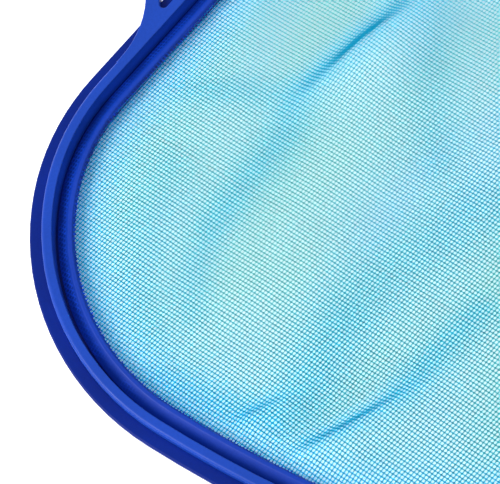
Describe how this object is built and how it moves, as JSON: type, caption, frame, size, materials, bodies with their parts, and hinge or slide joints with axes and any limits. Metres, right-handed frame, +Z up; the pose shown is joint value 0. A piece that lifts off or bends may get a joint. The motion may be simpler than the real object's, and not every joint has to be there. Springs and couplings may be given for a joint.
{
  "type": "leaf skimmer net",
  "caption": "Flat leaf skimmer head: rounded moulded rim clamping a fine net, braced yoke, and a round pole spigot with a sprung two-button clip.",
  "frame": {"origin": "middle of the outer box in plan, on the face that the head rests on", "axes": "+Z up from the resting face; the leading edge faces -Y and the pole spigot points along +Y; +X to the right seen from the leading edge"},
  "size_m": [0.44, 0.4632, 0.0357],
  "materials": {
    "rim_navy": "satin moulded plastic",
    "frame_blue": "satin moulded plastic",
    "ledge_blue": "satin moulded plastic",
    "net_cyan": "fine woven mesh",
    "screw_steel": "plain",
    "spigot_blue": "satin moulded plastic",
    "clip_white": "satin moulded plastic",
    "button_steel": "turned"
  },
  "bodies": {
    "root": {"base_ring": "rim_navy", "top_frame": "frame_blue", "net_ring": "ledge_blue", "leaf_net": "net_cyan", "rim_screws": "screw_steel", "handle_spigot": "spigot_blue", "spigot_screws": "screw_steel", "clip_pin": "screw_steel", "clip_spring": "screw_steel"},
    "clip_left": {"clip_arm_left": "clip_white", "snap_button_left": "button_steel"},
    "clip_right": {"clip_arm_right": "clip_white", "snap_button_right": "button_steel"}
  },
  "joints": [
    {"name": "clip_left_press", "type": "hinge", "parent": "root", "child": "clip_left", "pos_m": [0, 0.21861, 0.017], "axis": [0, 0, 1], "range_deg": [0, 4.5], "stiffness_Nm_per_rad": 4, "springref_deg": -5.73, "deforming": ["clip_spring"]},
    {"name": "clip_right_press", "type": "hinge", "parent": "root", "child": "clip_right", "pos_m": [0, 0.21861, 0.017], "axis": [0, 0, -1], "range_deg": [0, 4.5], "stiffness_Nm_per_rad": 4, "springref_deg": -5.73, "deforming": ["clip_spring"]}
  ]
}
